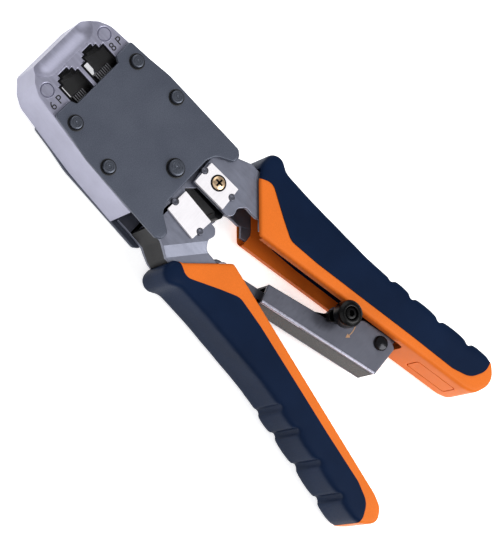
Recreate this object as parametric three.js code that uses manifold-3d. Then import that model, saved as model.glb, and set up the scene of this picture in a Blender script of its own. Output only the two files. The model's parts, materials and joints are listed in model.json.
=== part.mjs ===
// Ratchet crimping tool for 8-way and 6-way modular plugs, lying on its back.
// Units are millimetres. +X is right, +Y points to the nose, +Z is out of the front cover.
// The origin lies on the main pivot axis, on the back face of the pivot's head, where the tool rests.
import * as THREE from "three";
import { mergeVertices } from "three/addons/utils/BufferGeometryUtils.js";
import Module from "manifold-3d";

const wasm = await Module();
wasm.setup();

// ---- heights, measured from the mid-plane of the tool ----
const MID_Z = 13;
const COVER_TOP = 12.4;
const COVER_BOTTOM = 10.6;
const FRAME_HALF = 10.5;
const ARM_TOP = 10.3;
const ARM_BOTTOM = 8.3;
const CHANNEL_TOP = 9.6;
const CHANNEL_BOTTOM = 7.6;
const INNER_PLATE_TOP = 8;
const INNER_PLATE_BOTTOM = 6.1;
const GRIP_HALF = 12;
const SLOT_HALF = 7.5;
const BOX_TOP = 7;
const BOX_SHEET = 1.5;
const BAR_HALF = 2.5;
const FIT_GAP = 0.1;
const RUN_GAP = 0.35;
const THROUGH = 20; // half height of a cut that goes right through the tool

// ---- head ----
const NOSE_Y = 67.4;
const LEG_END_Y = 0.3;
const FRAME_OUTLINE = [
  [14.3, NOSE_Y, 2], [19.4, 62.6, 3], [22, 58, 3], [24.3, 37.5, 4], [25.6, 26, 6], [26.6, LEG_END_Y],
];
const WINDOW_TOP = 43.6;
const WINDOW_OUTLINE = [[19, LEG_END_Y - 5], [19, 24], [15.6, 29], [15.6, WINDOW_TOP]];
const SCOOP = { halfLength: 9.8, radius: 9.3, y: 67, rise: 5.9 };
const DOWEL = { x: 17.4, y: 57.4, radius: 2.8 };
const POCKET_8P = { left: 0.5, right: 14.2 };
const POCKET_6P = { left: -13, right: -1.4 };
const NEST_WALL = 0.9;
const NEST_BOTTOM = 46;
const PLUG_SEAT_Y = 54.2;
const LATCH_STEPS = [
  { halfWidth: 3.4, y: 56.2 },
  { halfWidth: 1.7, y: 57.6 },
];
const COVER_OUTLINE = [
  [12.4, 45.6], [13.9, 48.4], [23, 48.5, 2.4], [24.2, 38, 4], [25.9, 27.6, 6], [26.8, -13.5, 2.6],
  [24.6, -15.9, 2.6], [21.4, -15.7], [17, -8.6, 4], [12.6, -7, 3],
];
const COVER_BEVEL = 0.7;
const PIVOT = { radius: 4, headRadius: 5, frontTop: 14.2, backTop: MID_Z };
const COVER_RIVETS = [
  { name: "upper", x: 18.9, y: 40.8 },
  { name: "lower", x: 21.3, y: 19.5 },
];
const RIVET = { radius: 1.5, headRadius: 2.5, frontTop: 14, backTop: 12.9 };

// ---- punch slide ----
const SLIDE_HALF = 8.6;
const SLIDE_SIDE = 15.2;
const SLIDE_BOTTOM = 28.6;
const SLIDE_TOP = 37.6;
const STEM_SIDE = 14.4;
const YOKE_HALF = 5.6;
const YOKE_TOP = 21.4;
const YOKE_OUTER = 18.3;
const YOKE_INNER = 8.6;
const YOKE_FOOT = { left: -1, right: 12 };
const CRANK_SLOT = { left: -15.1, right: -12.5 };
const PUNCH_MARGIN = 1.5;
const CRANK = { x: -14.5, y: 5, pinRadius: 2.3, slotRadius: 2.6, armRadius: 4 };
const PUNCH_TOP = 46.4;
const COMB = { bottom: 43.4, barTop: 45.6, top: 48.2, back: 1, front: 7.6 };
const CONTACT_PITCH = 1.02;
const CONTACT_WIDTH = 0.5;

// ---- arms and grips, drawn for the right side ----
const NECK_OUTLINE = [
  [2.9, -9.3, 0.6], [13, -8, 0.6], [24.6, -8, 0.6], [24.9, -16, 2], [28.2, -22.5, 2], [28.9, -31, 0.6],
  [16, -43.5, 0.6], [13.1, -38.5, 1.5], [12.8, -32.4, 1.5], [9.5, -29.9, 1], [5.6, -30.9, 1.2], [3.8, -29.4, 1.2],
  [3.6, -25.7, 0.4],
];
const NECK_WEB = [[24.6, -9], [24.9, -16], [28.2, -22.5], [28.9, -31], [27, -31], [26.2, -23], [22.9, -16.4], [22.6, -9]];
const CHANNEL_OUTLINE = [
  [10.4, -42.9], [25.5, -29.3], [28.9, -29.5], [30.4, -45], [31.8, -83], [33.6, -104], [35.8, -124], [29.6, -124],
];
const CHANNEL_WEB = [
  [27, -29.6], [28.9, -29.5], [30.4, -45], [31.8, -83], [33.6, -104], [35.8, -124], [33.8, -124], [31.6, -104],
  [29.8, -83], [28.4, -45],
];
const FIXED_ROOT = [
  [-24.6, -10.5], [-2.9, -10.5], [-2.9, -10], [6, 1], [3, 7], [-4, 7], [-17, -0.6], [-24.6, -0.6],
];
const MOVING_ROOT = [[3.4, -12.6], [-6.4, -4], [-6, 7], [7, 7], [22, -8.6], [22, -12.6]];
const MOVING_SHOULDER = [[3.4, -9], [22.5, -9], [22.5, -13], [4, -13]];
const LUG = { radius: 5, half: 4.6, rootX: 33.6 };
const GRIP_INNER_TOP = [8.2, -44];
const GRIP_SHOULDER = [24.9, -28.4];
const GRIP_INNER_END = [30.8, -151.6];
const GRIP_OUTER = [
  [31.2, -23.8], [37.8, -24, 5], [40.2, -29.5, 5], [36.8, -35, 5], [36.9, -50, 6], [38.6, -84, 8],
  [41, -104.5, 8], [44.4, -126.4, 8], [47.6, -141.6, 8], [50.4, -153.9, 8],
];
const GRIP_END = [[43, -161.4, 8], [34, -157.6, 6]];
const FIXED_GRIP_SLIMMER = 4; // the fixed grip is narrower than the moving one on its outer side
const FIXED_GRIP_END = [[40, -159.8, 8], [33, -157, 6]];
const COLOUR_LINE = [
  [25.6, -27.9], [28.4, -33.2, 5], [21.2, -46.4], [16.9, -55, 5], [19, -69.4], [23.8, -94], [29, -119.7],
  [32.6, -142.5, 5], [36.4, -150, 5], [48, -152.6],
];
const SLOT_INNER_MARGIN = 8;
const FIXED_SLOT_END_Y = -104;
const MOVING_SLOT_END_Y = -121.6;
const GRIP_BEVEL = 1.6;
const FINGER_GROOVES = [[41.3, -97.5], [43, -109.3], [45.4, -124.8], [48.7, -141]];
const FINGER_RADIUS = 2.6;
const OVER_NECK = [[-5, -47], [14, -45.2], [16, -43.9], [29.2, -31.2], [29.2, -20], [-5, -20]];

// ---- blades ----
const BLADE_OUTLINE = [[2.9, -9.5, 0.3], [14, -9.1, 0.3], [14.9, -24.6, 0.3], [3.7, -25.5, 0.3]];
const BLADE_BOTTOM = 10.4;
const BLADE_TOP = 11.6;
const BLADE_PIN = { radius: 1.4, upper: [9.4, -9.3], lower: [10.3, -25] };
const BLADE_SCREW = {
  x: 10.1, y: -16.9, headRadius: 2.9, shankRadius: 1.5, top: 12.6, slotBottom: 12.1, slotHalf: 0.35,
};
const BLADE_LEAD = 1.6;
const CABLE_STOP = { from: [3.7, -10.8], to: [3.9, -25.6], half: 0.9, x: 3.5, y: -26.8, radius: 1.9, top: 6 };

// ---- ratchet link ----
const LINK_PIN = { x: 18.3, y: -113.2, radius: 2, headRadius: 3.2 };
const BAR_PIN = { x: -11.9, y: -42, radius: 1.8, clearRadius: 2.4, bossRadius: 3 };
const SLIDE_DIRECTION = new THREE.Vector2(0.31, -0.951).normalize();
const BOX_OUTLINE = [
  [-1.2, -61.2, 0.4], [7.5, -88.4, 3], [20, -101.6, 3], [23.4, -114.6, 2], [21.6, -119.4, 1.5], [6.6, -120, 1],
  [-9.2, -63.8, 0.4],
];
const BAR_LENGTH = 47;
const BAR_HALF_WIDTH = 2.3;
const BAR_EYE_RADIUS = 4;
const BAR_TEETH = { count: 9, pitch: 2, depth: 0.9, fromEnd: 2 };
const BOX_FOLD = { from: [-8.6, -64.2], to: [6.9, -119.6], half: 0.6 };
const BOX_LIP = { from: [-1.8, -61.6], to: [3.5, -78.2], half: 0.6 };
const KNOB = { x: 11.6, y: -91.9, radius: 5.8, bottom: 13, top: 19.8, bore: 2.9, boreDepth: 3.2 };
const LEVER = { radius: 3.5, hole: 2.3, bottom: 7.4, top: 12.6, tail: [-3.2, 3.4], tailHalf: 2.4, tailTop: 10.4 };
const PAWL = { shaft: 2.2, hub: 3, hubHalf: 4, fingerHalf: 2, reach: 42, rise: 3.4 };

const COLOURS = {
  frame: [0xb4b4c6, 0.35, 0.9],
  cover: [0x63686e, 0.5, 0.6],
  arm: [0x848898, 0.4, 0.8],
  black: [0x1c1d20, 0.5, 0.4],
  blade: [0xdcdce4, 0.25, 0.9],
  brass: [0xc8a24c, 0.3, 0.9],
  orange: [0xf08a30, 0.55, 0],
  navy: [0x2a3454, 0.6, 0],
  box: [0x7c8088, 0.4, 0.8],
};

// ---- helpers ----
function mirrored(points) {
  return points.map(([x, y, r]) => [-x, y, r]).reverse();
}

// A closed outline whose corners are rounded by the third number of each point.
function outline(points) {
  const shape = new THREE.Shape();
  points.forEach(([x, y, radius = 0], i) => {
    const here = new THREE.Vector2(x, y);
    const before = new THREE.Vector2(...points[(i + points.length - 1) % points.length]);
    const after = new THREE.Vector2(...points[(i + 1) % points.length]);
    const reach = (other) => Math.min(radius, 0.45 * here.distanceTo(other));
    const start = here.clone().add(before.clone().sub(here).setLength(reach(before)));
    const end = here.clone().add(after.clone().sub(here).setLength(reach(after)));
    if (i === 0) shape.moveTo(start.x, start.y);
    else shape.lineTo(start.x, start.y);
    if (radius > 0) shape.quadraticCurveTo(x, y, end.x, end.y);
  });
  return shape;
}

// The same corners moved outwards, so that a pocket clears the piece that sits in it.
function grown(points, distance) {
  const corners = points.map(([x, y]) => new THREE.Vector2(x, y));
  const turn = THREE.ShapeUtils.isClockWise(corners) ? -1 : 1;
  return corners.map((here, i) => {
    const before = corners[(i + corners.length - 1) % corners.length];
    const after = corners[(i + 1) % corners.length];
    const sideOf = (from, to) => new THREE.Vector2(to.y - from.y, from.x - to.x).setLength(turn);
    const middle = sideOf(before, here).add(sideOf(here, after));
    middle.multiplyScalar((2 * distance) / middle.lengthSq());
    return [here.x + middle.x, here.y + middle.y];
  });
}

function disc(x, y, radius) {
  const shape = new THREE.Shape();
  shape.absarc(x, y, radius, 0, 2 * Math.PI, false);
  return shape;
}

function solid(geometry) {
  const bare = geometry.clone();
  bare.deleteAttribute("normal");
  bare.deleteAttribute("uv");
  const merged = mergeVertices(bare, 1e-4);
  return new wasm.Manifold(new wasm.Mesh({
    numProp: 3,
    vertProperties: merged.attributes.position.array,
    triVerts: new Uint32Array(merged.index.array),
  }));
}

// An outline raised from one height to another, with an optional bevel on every edge.
function raise(shape, bottom, top, { bevel = 0, segments = 3 } = {}) {
  const geometry = new THREE.ExtrudeGeometry(shape, {
    depth: top - bottom - 2 * bevel,
    curveSegments: segments,
    bevelEnabled: bevel > 0,
    bevelThickness: bevel,
    bevelSize: bevel,
    bevelOffset: -bevel,
    bevelSegments: 1,
  });
  geometry.translate(0, 0, bottom + bevel);
  return solid(geometry);
}

function post(x, y, radius, bottom, top, segments = 8) {
  return raise(disc(x, y, radius), bottom, top, { segments });
}

function block(left, right, low, high, bottom, top) {
  return raise(outline([[left, low], [right, low], [right, high], [left, high]]), bottom, top);
}

function join(...solids) {
  return solids.reduce((all, next) => all.add(next));
}

// The same outline raised on the front and on the back.
function pair(shape, bottom, top) {
  return [raise(shape, bottom, top), raise(shape, -top, -bottom)];
}

// A straight strip between two points.
function strip(from, to, halfWidth) {
  const along = new THREE.Vector2(to[0] - from[0], to[1] - from[1]).normalize();
  const side = new THREE.Vector2(-along.y, along.x).multiplyScalar(halfWidth);
  return outline([
    [from[0] - side.x, from[1] - side.y],
    [to[0] - side.x, to[1] - side.y],
    [to[0] + side.x, to[1] + side.y],
    [from[0] + side.x, from[1] + side.y],
  ]);
}

function tube(points, radius, lengthSegments) {
  const path = new THREE.CatmullRomCurve3(points.map((p) => new THREE.Vector3(...p)));
  const section = new THREE.Shape();
  section.absarc(0, 0, radius, 0, 2 * Math.PI, false);
  return solid(new THREE.ExtrudeGeometry(section, {
    steps: lengthSegments,
    curveSegments: 3,
    bevelEnabled: false,
    extrudePath: path,
  }));
}

const tool = new THREE.Group();
tool.name = "crimping_tool";
tool.position.z = MID_Z;

function place(name, body, [color, roughness, metalness]) {
  const mesh = body.getMesh();
  const geometry = new THREE.BufferGeometry();
  geometry.setAttribute("position", new THREE.BufferAttribute(new Float32Array(mesh.vertProperties), 3));
  geometry.setIndex(new THREE.BufferAttribute(new Uint32Array(mesh.triVerts), 1));
  geometry.computeVertexNormals();
  const piece = new THREE.Mesh(geometry, new THREE.MeshStandardMaterial({ color, roughness, metalness }));
  piece.name = name;
  tool.add(piece);
}

// ---- head frame ----
// The shape of a plug with its latch, made larger all round by the given amount.
function stepped({ left, right }, larger, bottom, half) {
  const middle = (left + right) / 2;
  const wall = NEST_WALL - larger;
  return join(
    block(left + wall, right - wall, bottom, PLUG_SEAT_Y + larger, -half, half),
    ...LATCH_STEPS.map(({ halfWidth, y }) => (
      block(middle - halfWidth - larger, middle + halfWidth + larger, bottom, y + larger, -half, half)
    )),
  );
}
const frameShape = outline([...FRAME_OUTLINE, ...mirrored(FRAME_OUTLINE)].reverse());
const windowShape = outline([...WINDOW_OUTLINE, ...mirrored(WINDOW_OUTLINE)]);
const scoop = new THREE.CapsuleGeometry(SCOOP.radius, 2 * SCOOP.halfLength, 6, 28);
scoop.rotateZ(Math.PI / 2);
scoop.translate(0, SCOOP.y, FRAME_HALF + SCOOP.rise);
let frame = raise(frameShape, -FRAME_HALF, FRAME_HALF, { bevel: 0.5 });
frame = frame.subtract(raise(windowShape, -THROUGH, THROUGH));
for (const pocket of [POCKET_8P, POCKET_6P]) {
  frame = frame.subtract(stepped(pocket, NEST_WALL, WINDOW_TOP - 1, THROUGH));
}
frame = frame.subtract(solid(scoop));
for (const side of [-1, 1]) {
  const hole = post(side * DOWEL.x, DOWEL.y, DOWEL.radius + FIT_GAP, -THROUGH, THROUGH);
  frame = frame.subtract(hole);
  for (const rivet of COVER_RIVETS) {
    frame = frame.subtract(post(side * rivet.x, rivet.y, RIVET.radius + FIT_GAP, -THROUGH, THROUGH));
  }
}
place("head_frame", frame, COLOURS.frame);

// ---- covers ----
const coverShape = outline([...COVER_OUTLINE, ...mirrored(COVER_OUTLINE)].reverse());
for (const [name, side] of [["front_cover", 1], ["back_cover", -1]]) {
  let cover = raise(coverShape, COVER_BOTTOM - COVER_BEVEL, COVER_TOP, { bevel: COVER_BEVEL });
  cover = cover.subtract(block(-40, 40, -40, 60, COVER_BOTTOM - 3, COVER_BOTTOM));
  cover = cover.subtract(post(0, 0, PIVOT.radius + FIT_GAP, -THROUGH, THROUGH));
  for (const sign of [-1, 1]) {
    for (const rivet of COVER_RIVETS) {
      cover = cover.subtract(post(sign * rivet.x, rivet.y, RIVET.radius + FIT_GAP, -THROUGH, THROUGH));
    }
  }
  place(name, side > 0 ? cover : cover.rotate([0, 180, 0]), COLOURS.cover);
}

// ---- rivets, pivot and dowels ----
function rivet(x, y, { radius, headRadius, frontTop, backTop }) {
  const seat = COVER_TOP + FIT_GAP / 2;
  return join(
    post(x, y, radius, -seat, seat),
    post(x, y, headRadius, seat, frontTop),
    post(x, y, headRadius, -backTop, -seat),
  );
}
place("main_pivot_rivet", rivet(0, 0, PIVOT), COLOURS.cover);
for (const [hand, sign] of [["left", -1], ["right", 1]]) {
  for (const spot of COVER_RIVETS) {
    place(`${spot.name}_rivet_${hand}`, rivet(sign * spot.x, spot.y, RIVET), COLOURS.cover);
  }
  place(`die_dowel_${hand}`, post(sign * DOWEL.x, DOWEL.y, DOWEL.radius, -FRAME_HALF, FRAME_HALF), COLOURS.frame);
}

// ---- die nests, punches and contact combs ----
function nest(pocket) {
  return stepped(pocket, NEST_WALL - FIT_GAP, NEST_BOTTOM, FRAME_HALF - 2 * FIT_GAP)
    .subtract(stepped(pocket, 0, NEST_BOTTOM - 1, THROUGH));
}
place("die_nest_8p", nest(POCKET_8P), COLOURS.black);
place("die_nest_6p", nest(POCKET_6P), COLOURS.black);

function punch({ left, right }) {
  return block(left + PUNCH_MARGIN, right - PUNCH_MARGIN, SLIDE_TOP + FIT_GAP, PUNCH_TOP, -SLIDE_HALF, SLIDE_HALF);
}
function comb({ left, right }, ways) {
  const middle = (left + right) / 2;
  const reach = (ways / 2) * CONTACT_PITCH;
  const teeth = Array.from({ length: ways }, (_, i) => {
    const x = middle + (i - (ways - 1) / 2) * CONTACT_PITCH;
    return block(x - CONTACT_WIDTH / 2, x + CONTACT_WIDTH / 2, COMB.bottom, COMB.top, COMB.back, COMB.front);
  });
  return join(block(middle - reach, middle + reach, COMB.bottom, COMB.barTop, COMB.back, COMB.front), ...teeth);
}
for (const [name, pocket, ways] of [["8p", POCKET_8P, 8], ["6p", POCKET_6P, 6]]) {
  const middle = (pocket.left + pocket.right) / 2;
  const reach = (ways / 2) * CONTACT_PITCH + FIT_GAP;
  const seatLow = COMB.bottom - FIT_GAP;
  const seat = block(middle - reach, middle + reach, seatLow, COMB.top, COMB.back - FIT_GAP, THROUGH);
  place(`punch_${name}`, punch(pocket).subtract(seat), COLOURS.black);
  place(`contact_comb_${name}`, comb(pocket, ways), COLOURS.blade);
}

// ---- punch slide with its yoke for the crank pin ----
const slide = join(
  block(-SLIDE_SIDE, SLIDE_SIDE, SLIDE_BOTTOM, SLIDE_TOP, -SLIDE_HALF, SLIDE_HALF),
  block(-STEM_SIDE, STEM_SIDE, YOKE_TOP - 1.4, SLIDE_BOTTOM + 1, -YOKE_HALF, YOKE_HALF),
  block(-YOKE_OUTER, -YOKE_INNER, YOKE_FOOT.left, YOKE_TOP, -YOKE_HALF, YOKE_HALF),
  block(YOKE_INNER, YOKE_OUTER, YOKE_FOOT.right, YOKE_TOP, -YOKE_HALF, YOKE_HALF),
);
const crankSlot = join(
  post(CRANK_SLOT.left, CRANK.y, CRANK.slotRadius, -THROUGH, THROUGH),
  post(CRANK_SLOT.right, CRANK.y, CRANK.slotRadius, -THROUGH, THROUGH),
  raise(strip([CRANK_SLOT.left, CRANK.y], [CRANK_SLOT.right, CRANK.y], CRANK.slotRadius), -THROUGH, THROUGH),
);
place("punch_slide", slide.subtract(crankSlot), COLOURS.black);

// ---- steel arms ----
function forSide(points, side) {
  return side > 0 ? points : mirrored(points);
}
function neck(side) {
  const turn = (points) => forSide(points, side);
  return [
    ...pair(outline(turn(NECK_OUTLINE)), ARM_BOTTOM, ARM_TOP),
    raise(outline(turn(NECK_WEB)), -ARM_TOP, ARM_TOP),
    ...pair(outline(turn(CHANNEL_OUTLINE)), CHANNEL_BOTTOM, CHANNEL_TOP),
    raise(outline(turn(CHANNEL_WEB)), -CHANNEL_TOP, CHANNEL_TOP),
  ];
}
function drillBlade(arm, side) {
  let drilled = arm;
  for (const [x, y] of [BLADE_PIN.upper, BLADE_PIN.lower]) {
    drilled = drilled.subtract(post(side * x, y, BLADE_PIN.radius + FIT_GAP, INNER_PLATE_BOTTOM, THROUGH));
  }
  return drilled.subtract(post(side * BLADE_SCREW.x, BLADE_SCREW.y, BLADE_SCREW.shankRadius + FIT_GAP, 0, THROUGH));
}
function through({ x, y }, radius) {
  return post(x, y, radius, -THROUGH, THROUGH);
}
const fixedArm = join(
  ...neck(-1),
  ...pair(outline(FIXED_ROOT), ARM_BOTTOM, ARM_TOP),
  raise(disc(BAR_PIN.x, BAR_PIN.y, BAR_PIN.bossRadius), -CHANNEL_TOP, -CHANNEL_BOTTOM),
).subtract(join(
  through({ x: 0, y: 0 }, PIVOT.radius + FIT_GAP),
  through(BAR_PIN, BAR_PIN.radius + FIT_GAP),
));
place("fixed_arm", drillBlade(fixedArm, -1), COLOURS.arm);

const movingArm = join(
  ...neck(1),
  ...pair(outline(MOVING_SHOULDER), INNER_PLATE_BOTTOM, ARM_TOP),
  ...pair(outline(MOVING_ROOT), INNER_PLATE_BOTTOM, INNER_PLATE_TOP),
  ...pair(strip([0, 2], [CRANK.x, CRANK.y], CRANK.armRadius), INNER_PLATE_BOTTOM, INNER_PLATE_TOP),
  ...pair(disc(CRANK.x, CRANK.y, CRANK.armRadius), INNER_PLATE_BOTTOM, INNER_PLATE_TOP),
  raise(strip([LINK_PIN.x, LINK_PIN.y], [LUG.rootX, LINK_PIN.y], LUG.radius), -LUG.half, LUG.half),
  post(LINK_PIN.x, LINK_PIN.y, LUG.radius, -LUG.half, LUG.half),
).subtract(join(
  through({ x: 0, y: 0 }, PIVOT.radius + 2.5 * FIT_GAP),
  through(CRANK, CRANK.pinRadius + FIT_GAP),
  through(LINK_PIN, LINK_PIN.radius + FIT_GAP),
));
place("moving_arm", drillBlade(movingArm, 1), COLOURS.arm);
place("crank_pin", post(CRANK.x, CRANK.y, CRANK.pinRadius, -INNER_PLATE_TOP, INNER_PLATE_TOP), COLOURS.frame);

// ---- blades with their pins and screws ----
for (const [hand, side, name] of [["left", -1, "stripping_blade"], ["right", 1, "cutting_blade"]]) {
  let blade = raise(outline(forSide(BLADE_OUTLINE, side)), BLADE_BOTTOM, BLADE_TOP);
  const [[topX, topY], , , [lowX, lowY]] = BLADE_OUTLINE;
  const edge = [
    [topX - 1, topY + 1], [topX + BLADE_LEAD, topY + 1], [lowX + BLADE_LEAD, lowY - 1], [lowX - 2, lowY - 1],
  ];
  blade = blade.subtract(raise(outline(forSide(edge, side).reverse()), BLADE_BOTTOM + 0.5, BLADE_TOP + 1));
  for (const [spot, [x, y]] of Object.entries({ upper: BLADE_PIN.upper, lower: BLADE_PIN.lower })) {
    blade = blade.subtract(post(side * x, y, BLADE_PIN.radius + FIT_GAP, ARM_BOTTOM, BLADE_TOP + 1));
    place(`${name}_pin_${spot}`, post(side * x, y, BLADE_PIN.radius, ARM_BOTTOM, BLADE_TOP), COLOURS.frame);
  }
  const { y, headRadius, shankRadius, top, slotBottom, slotHalf } = BLADE_SCREW;
  const x = side * BLADE_SCREW.x;
  place(name, blade.subtract(post(x, y, shankRadius + FIT_GAP, ARM_BOTTOM, BLADE_TOP + 1)), COLOURS.blade);
  const frontHead = post(x, y, headRadius, BLADE_TOP + FIT_GAP / 2, top)
    .subtract(block(x - headRadius - 1, x + headRadius + 1, y - slotHalf, y + slotHalf, slotBottom, top + 1))
    .subtract(block(x - slotHalf, x + slotHalf, y - headRadius - 1, y + headRadius + 1, slotBottom, top + 1));
  const backHead = post(x, y, headRadius, ARM_BOTTOM - 1.5, ARM_BOTTOM - FIT_GAP / 2);
  const shank = post(x, y, shankRadius, ARM_BOTTOM - 1.3, side > 0 ? BLADE_TOP + 2 * FIT_GAP : BLADE_TOP);
  place(`${name}_screw`, join(side > 0 ? frontHead : backHead, shank), side > 0 ? COLOURS.brass : COLOURS.frame);
}

// ---- stop at the lower end of the gap between the blades ----
place("cable_stop", join(
  raise(strip(CABLE_STOP.from, CABLE_STOP.to, CABLE_STOP.half), -CABLE_STOP.top, CABLE_STOP.top),
  post(CABLE_STOP.x, CABLE_STOP.y, CABLE_STOP.radius, -CABLE_STOP.top, CABLE_STOP.top),
), COLOURS.black);

// ---- overmoulded grips: an orange inner shell and a navy outer shell round each steel channel ----
function grips(side, slotEndY) {
  const turn = (points) => forSide(points, side);
  const slimmer = side < 0 ? FIXED_GRIP_SLIMMER : 0;
  const outer = GRIP_OUTER.map(([x, y, radius]) => [x - slimmer, y, radius]);
  const end = side < 0 ? FIXED_GRIP_END : GRIP_END;
  const whole = [GRIP_INNER_TOP, GRIP_SHOULDER, ...outer, ...end, GRIP_INNER_END];
  const fingers = FINGER_GROOVES.map(([x, y]) => (
    post(side * (x - slimmer), y, FINGER_RADIUS, -THROUGH, THROUGH, 4)
  ));
  const body = raise(outline(turn(whole.slice().reverse())), -GRIP_HALF, GRIP_HALF, { bevel: GRIP_BEVEL })
    .subtract(join(...fingers));
  const innerPart = [...COLOUR_LINE, [48, -175], [-5, -175], [-5, -40], [20, -20], [25.6, -20]];
  const cutter = raise(outline(turn(innerPart.slice().reverse())), -THROUGH, THROUGH);
  const clear = (points, top) => {
    const pocket = outline(turn(grown(points, FIT_GAP)));
    return raise(pocket, -top - FIT_GAP, top + FIT_GAP);
  };
  const slotDepth = (y) => GRIP_INNER_TOP[0] + ((y - GRIP_INNER_TOP[1]) / (GRIP_INNER_END[1] - GRIP_INNER_TOP[1]))
    * (GRIP_INNER_END[0] - GRIP_INNER_TOP[0]);
  const slot = raise(outline(turn([
    [-10, -30], [-10, slotEndY], [slotDepth(slotEndY) + SLOT_INNER_MARGIN, slotEndY], [24, -30],
  ])), -SLOT_HALF, SLOT_HALF);
  const hollow = join(clear(CHANNEL_OUTLINE, CHANNEL_TOP), clear(OVER_NECK, ARM_TOP), slot);
  return {
    orange: body.intersect(cutter).subtract(hollow),
    navy: body.subtract(cutter).subtract(hollow),
  };
}
for (const [hand, side, slotEnd] of [["fixed", -1, FIXED_SLOT_END_Y], ["moving", 1, MOVING_SLOT_END_Y]]) {
  const { orange, navy } = grips(side, slotEnd);
  place(`${hand}_grip_orange`, orange, COLOURS.orange);
  place(`${hand}_grip_navy`, navy, COLOURS.navy);
}

// ---- ratchet link between the grips ----
const box = join(
  ...pair(outline(BOX_OUTLINE), BOX_TOP - BOX_SHEET, BOX_TOP),
  ...pair(disc(KNOB.x, KNOB.y, PAWL.shaft + 2.2), BOX_TOP - BOX_SHEET, BOX_TOP),
  ...[BOX_FOLD, BOX_LIP].map(({ from, to, half }) => raise(strip(from, to, half), -BOX_TOP, BOX_TOP)),
).subtract(join(
  through(LINK_PIN, LINK_PIN.radius + RUN_GAP),
  through(KNOB, PAWL.shaft + RUN_GAP),
));
place("ratchet_box", box, COLOURS.box);

const linkHead = BOX_TOP + 0.4;
place("link_pin", join(
  post(LINK_PIN.x, LINK_PIN.y, LINK_PIN.radius, -linkHead - 0.2, linkHead + 0.2),
  post(LINK_PIN.x, LINK_PIN.y, LINK_PIN.headRadius, linkHead, linkHead + 1.2),
), COLOURS.frame);
place("bar_pin", post(BAR_PIN.x, BAR_PIN.y, BAR_PIN.radius, -CHANNEL_TOP, CHANNEL_TOP), COLOURS.frame);

// A point on the bar: so far along it from its pin, and so far out towards its toothed side.
function onBar(along, out) {
  const side = new THREE.Vector2(-SLIDE_DIRECTION.y, SLIDE_DIRECTION.x);
  return [
    BAR_PIN.x + SLIDE_DIRECTION.x * along + side.x * out,
    BAR_PIN.y + SLIDE_DIRECTION.y * along + side.y * out,
  ];
}
let bar = join(
  raise(strip(onBar(0, 0), onBar(BAR_LENGTH, 0), BAR_HALF_WIDTH), -BAR_HALF, BAR_HALF),
  post(BAR_PIN.x, BAR_PIN.y, BAR_EYE_RADIUS, -BAR_HALF, BAR_HALF),
).subtract(through(BAR_PIN, BAR_PIN.clearRadius));
for (let i = 0; i < BAR_TEETH.count; i += 1) {
  const along = BAR_LENGTH - BAR_TEETH.fromEnd - i * BAR_TEETH.pitch;
  const outside = BAR_HALF_WIDTH + 0.3;
  bar = bar.subtract(raise(outline([
    onBar(along + 0.7, outside), onBar(along + 0.2, BAR_HALF_WIDTH - BAR_TEETH.depth), onBar(along - 0.7, outside),
  ]), -THROUGH, THROUGH));
}
place("ratchet_bar", bar, COLOURS.box);

// ---- pawl, release lever and knob ----
place("pawl", join(
  post(KNOB.x, KNOB.y, PAWL.shaft, -4.8, KNOB.bottom - FIT_GAP),
  post(KNOB.x, KNOB.y, PAWL.hub, -PAWL.hubHalf, PAWL.hubHalf),
  raise(strip([KNOB.x, KNOB.y], onBar(PAWL.reach, PAWL.rise), 1), -PAWL.fingerHalf, PAWL.fingerHalf),
), COLOURS.black);
const tailEnd = [KNOB.x + LEVER.tail[0], KNOB.y + LEVER.tail[1]];
place("release_lever", join(
  post(KNOB.x, KNOB.y, LEVER.radius, LEVER.bottom, LEVER.top),
  raise(strip([KNOB.x, KNOB.y], tailEnd, LEVER.tailHalf), LEVER.bottom, LEVER.tailTop),
).subtract(through(KNOB, LEVER.hole)), COLOURS.black);
place("release_knob", post(KNOB.x, KNOB.y, KNOB.radius, KNOB.bottom, KNOB.top, 14)
  .subtract(post(KNOB.x, KNOB.y, KNOB.bore, KNOB.top - KNOB.boreDepth, KNOB.top + 1)), COLOURS.black);
const screwRadius = KNOB.bore - 0.2;
const socketRadius = 1.4;
place("knob_screw", post(KNOB.x, KNOB.y, screwRadius, KNOB.top - 3, KNOB.top - 0.4)
  .subtract(post(KNOB.x, KNOB.y, socketRadius, KNOB.top - 2.4, KNOB.top + 1, 3)), COLOURS.frame);

// ---- springs ----
const RETURN_SPRING = { coilRadius: 5.4, turns: 2.5, half: 3, wire: 0.55, legs: [[-5, -9.5, -3.2], [9, 9, 3.3]] };
const PAWL_SPRING = { x: 14.6, top: -99.4, length: 5.9, coilRadius: 1.2, turns: 4, wire: 0.25 };
const returnCoil = Array.from({ length: 26 }, (_, i) => {
  const share = i / 25;
  const angle = share * RETURN_SPRING.turns * 2 * Math.PI - Math.PI / 2;
  return [
    RETURN_SPRING.coilRadius * Math.cos(angle),
    RETURN_SPRING.coilRadius * Math.sin(angle),
    RETURN_SPRING.half * (2 * share - 1),
  ];
});
const [firstLeg, lastLeg] = RETURN_SPRING.legs;
place("return_spring", tube([firstLeg, ...returnCoil, lastLeg], RETURN_SPRING.wire, 70), COLOURS.frame);
const pawlCoil = Array.from({ length: 22 }, (_, i) => {
  const share = i / 21;
  const angle = share * PAWL_SPRING.turns * 2 * Math.PI;
  return [
    PAWL_SPRING.x + PAWL_SPRING.coilRadius * Math.cos(angle),
    PAWL_SPRING.top - PAWL_SPRING.length * share,
    PAWL_SPRING.coilRadius * Math.sin(angle),
  ];
});
place("pawl_spring", tube(pawlCoil, PAWL_SPRING.wire, 64), COLOURS.frame);

export default tool;
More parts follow.
